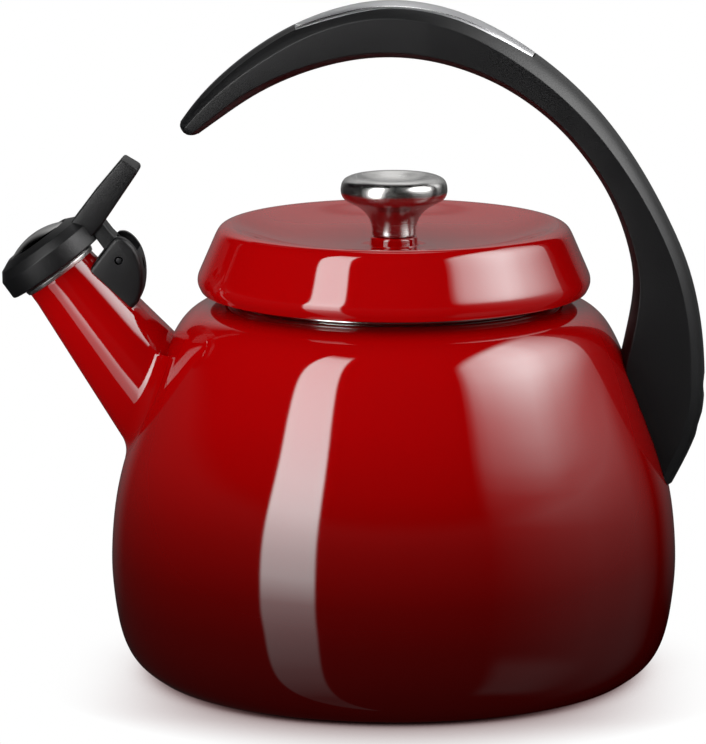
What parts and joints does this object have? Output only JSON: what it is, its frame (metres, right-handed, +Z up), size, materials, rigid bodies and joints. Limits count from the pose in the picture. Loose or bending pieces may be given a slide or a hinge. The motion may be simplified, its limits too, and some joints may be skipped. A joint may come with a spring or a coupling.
{
  "type": "stovetop whistling kettle",
  "caption": "Round-shouldered enamelled kettle with a lift-off lid, an open arched handle and a flip-up whistle on its slanted spout.",
  "frame": {"origin": "on the table, at the centre of the flat base under the body", "axes": "+Z up along the axis of the body; the spout points to -X and the foot of the handle is on +X; the plane y = 0 is the plane of symmetry"},
  "size_m": [0.2483, 0.2, 0.2375],
  "materials": {
    "red_enamel": "glossy vitreous enamel, bright red on the lid and shoulder and fading to a dark maroon at the foot",
    "stainless_steel": "turned and polished stainless steel",
    "plain_steel": "plain zinc-plated steel",
    "black_plastic": "moulded black phenolic with a fine satin grain",
    "silicone_rubber": "matte dark silicone",
    "label_metal": "satin silver plate, left blank"
  },
  "bodies": {
    "kettle": {"body_shell": "red_enamel", "base_plate": "stainless_steel", "neck_ring": "stainless_steel", "spout_tube": "red_enamel", "mouth_collar": "stainless_steel", "spout_stud": "stainless_steel", "stud_nut": "stainless_steel", "hinge_block": "black_plastic", "hinge_pin": "stainless_steel", "whistle_spring": "plain_steel", "handle_bracket": "plain_steel", "handle_grip": "black_plastic", "handle_label": "label_metal", "handle_screw_upper": "plain_steel", "handle_screw_lower": "plain_steel"},
    "lid": {"lid_shell": "red_enamel", "lid_sleeve": "stainless_steel", "lid_knob": "stainless_steel", "knob_washer": "stainless_steel", "knob_screw": "stainless_steel"},
    "whistle": {"whistle_frame": "black_plastic", "whistle_dome": "stainless_steel", "whistle_plate": "stainless_steel", "whistle_seal": "silicone_rubber"}
  },
  "joints": [
    {"name": "lid_lift", "type": "slide", "parent": "kettle", "child": "lid", "axis": [0, 0, 1], "range_m": [0, 0.028]},
    {"name": "whistle_flip", "type": "hinge", "parent": "kettle", "child": "whistle", "pos_m": [-0.09649, 0, 0.14744], "axis": [0, 1, 0], "range_deg": [0, 40], "stiffness_Nm_per_rad": 0.02, "springref_deg": -34.38, "deforming": ["whistle_spring"]}
  ]
}
